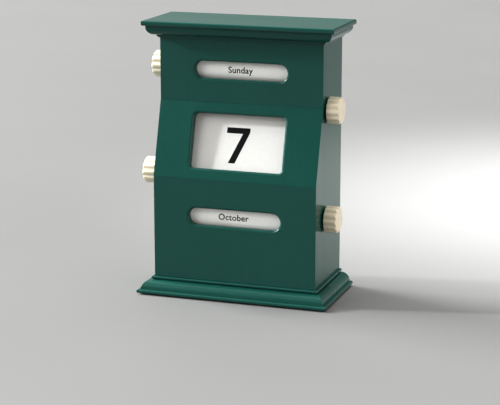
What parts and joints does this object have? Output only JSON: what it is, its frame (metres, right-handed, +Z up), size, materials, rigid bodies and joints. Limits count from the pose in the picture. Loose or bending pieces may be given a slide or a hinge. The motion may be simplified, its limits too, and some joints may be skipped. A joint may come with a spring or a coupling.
{
  "type": "roller desk calendar",
  "caption": "Painted wooden desk calendar case with weekday, date and month windows, and knob-turned rollers behind them.",
  "frame": {"origin": "on the resting surface under the middle of the base", "axes": "+X to the right of the front, +Y from the front to the back, +Z up; the windows face -Y"},
  "size_m": [0.164, 0.084, 0.227],
  "materials": {
    "painted_wood": "satin dark green paint over fine-grained wood",
    "cream_knob": "smooth cream paint, satin",
    "paper": "matt white paper, printed black",
    "bare_wood": "bare beech, matt",
    "card": "matt grey-brown board",
    "nylon": "natural white nylon, matt",
    "steel": "zinc-plated, dull",
    "felt": "dark green felt"
  },
  "bodies": {
    "case": {"base_board": "painted_wood", "base_bead": "painted_wood", "felt_base_sheet": "felt", "left_side_panel": "painted_wood", "right_side_panel": "painted_wood", "lower_front_panel": "painted_wood", "middle_front_panel": "painted_wood", "upper_front_panel": "painted_wood", "back_panel": "painted_wood", "back_panel_screws": "steel", "base_screws": "steel", "base_corner_blocks": "bare_wood", "top_corner_blocks": "bare_wood", "cornice_bead": "painted_wood", "cornice_board": "painted_wood", "date_guide_plate": "card", "date_tape_span": "paper", "weekday_knob_bush": "nylon", "weekday_end_bush": "nylon", "month_knob_bush": "nylon", "month_end_bush": "nylon", "date_upper_knob_bush": "nylon", "date_upper_end_bush": "nylon", "date_lower_knob_bush": "nylon", "date_lower_end_bush": "nylon"},
    "weekday_roller": {"weekday_axle": "bare_wood", "weekday_tube": "card", "weekday_end_discs": "bare_wood", "weekday_label": "paper", "weekday_collar": "nylon", "weekday_washer": "card", "weekday_knob": "cream_knob"},
    "month_roller": {"month_axle": "bare_wood", "month_tube": "card", "month_end_discs": "bare_wood", "month_label": "paper", "month_collar": "nylon", "month_washer": "card", "month_knob": "cream_knob"},
    "date_upper_roller": {"date_upper_axle": "bare_wood", "date_upper_tape": "paper", "date_upper_collar": "nylon", "date_upper_washer": "card", "date_upper_knob": "cream_knob"},
    "date_lower_roller": {"date_lower_axle": "bare_wood", "date_lower_tape": "paper", "date_lower_collar": "nylon", "date_lower_washer": "card", "date_lower_knob": "cream_knob"}
  },
  "joints": [
    {"name": "weekday_spin", "type": "hinge", "parent": "case", "child": "weekday_roller", "pos_m": [0, 0.0085, 0.1875], "axis": [1, 0, 0], "continuous": true},
    {"name": "month_spin", "type": "hinge", "parent": "case", "child": "month_roller", "pos_m": [0, -0.003, 0.068], "axis": [1, 0, 0], "continuous": true},
    {"name": "date_lower_spin", "type": "hinge", "parent": "case", "child": "date_lower_roller", "pos_m": [0, -0.0145, 0.1015], "axis": [1, 0, 0], "range_deg": [-10755, 2895]},
    {"name": "date_upper_spin", "type": "hinge", "parent": "case", "child": "date_upper_roller", "pos_m": [0, 0.002, 0.1576], "axis": [1, 0, 0], "range_deg": [-10755, 2895]}
  ],
  "couplings": [
    {"joint": "date_upper_spin", "follows": "date_lower_spin", "ratio": 1}
  ]
}
